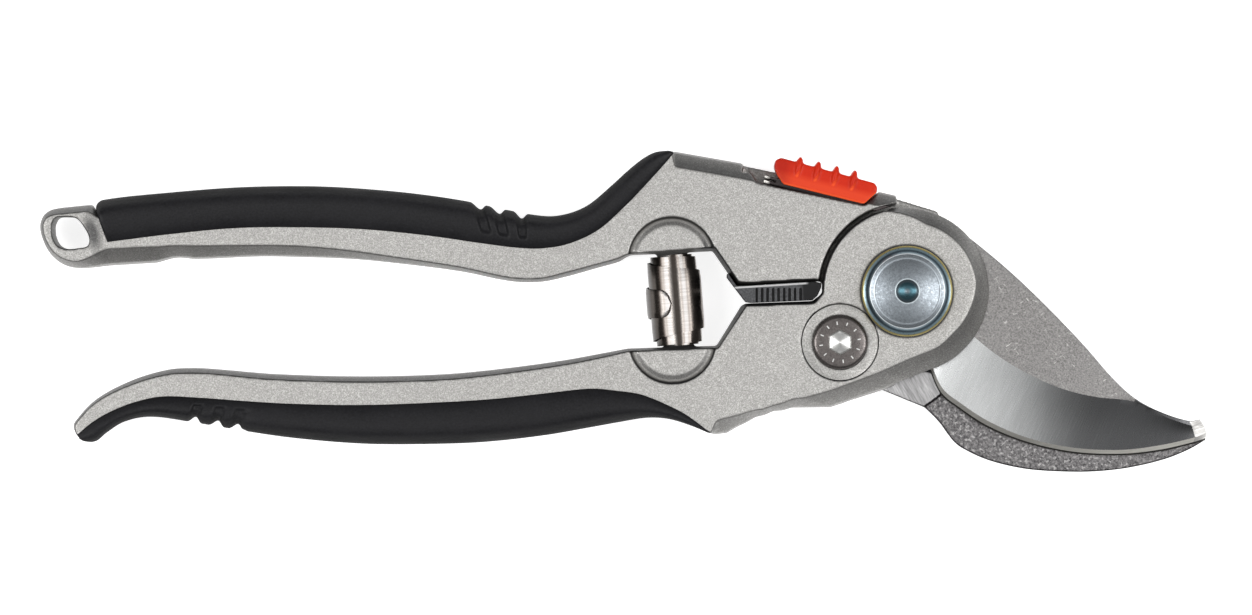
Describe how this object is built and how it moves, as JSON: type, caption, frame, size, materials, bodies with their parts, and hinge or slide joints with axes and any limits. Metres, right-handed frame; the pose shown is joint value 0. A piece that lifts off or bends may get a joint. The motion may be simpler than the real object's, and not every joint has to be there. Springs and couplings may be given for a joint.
{
  "type": "pruning shears",
  "caption": "Bypass pruning shears, lying closed on their back: forged handles with rubber grips, curved blade over a hook, coiled strip spring and red thumb lock.",
  "frame": {"origin": "on the pivot axis, at the back of the pivot nut, in the plane that the shears lie on", "axes": "+X towards the blades' tip, +Y towards the handle with the thumb lock, +Z out of the front face along the pivot"},
  "size_m": [0.2221, 0.0612, 0.0184],
  "materials": {
    "handle_metal": "forged, coarse silver powder coat with bare-looking bevels",
    "grip_rubber": "matte overmoulded rubber",
    "buffer_rubber": "ribbed soft rubber",
    "hook_steel": "dark phosphated forged steel, bare where machined",
    "blade_steel": "blasted upper side, mirror-ground bevel",
    "rivet_steel": "flush ground rivet heads",
    "zinc_steel": "blue zinc plating",
    "spring_steel": "nickel-plated spring steel",
    "screw_steel": "dark stainless steel",
    "bush_bronze": "sintered bronze",
    "red_plastic": "glossy orange-red moulded plastic"
  },
  "bodies": {
    "upper": {"upper_handle": "handle_metal", "upper_grip": "grip_rubber", "counter_blade": "hook_steel", "counter_blade_rivets": "rivet_steel", "stop_buffer": "buffer_rubber", "pivot_bolt": "zinc_steel", "pivot_washer": "spring_steel", "pivot_nut": "zinc_steel", "nut_lock_plate": "spring_steel", "nut_lock_screw": "zinc_steel", "lock_guide_screw": "spring_steel", "lock_detent_ball": "spring_steel", "lock_detent_spring": "spring_steel", "volute_spring": "spring_steel"},
    "lower": {"lower_handle": "handle_metal", "lower_grip": "grip_rubber", "cutting_blade": "blade_steel", "pivot_bush": "bush_bronze", "blade_screw": "screw_steel", "blade_screw_washer": "handle_metal"},
    "lock": {"lock_slider": "spring_steel", "lock_button": "red_plastic"}
  },
  "joints": [
    {"name": "handle_pivot", "type": "hinge", "parent": "upper", "child": "lower", "pos_m": [0, 0, 0.0085], "axis": [0, 0, 1], "range_deg": [0, 28], "deforming": ["volute_spring"]},
    {"name": "lock_slide", "type": "slide", "parent": "upper", "child": "lock", "axis": [-0.9707, 0.2402, 0], "range_m": [0, 0.0036]}
  ]
}
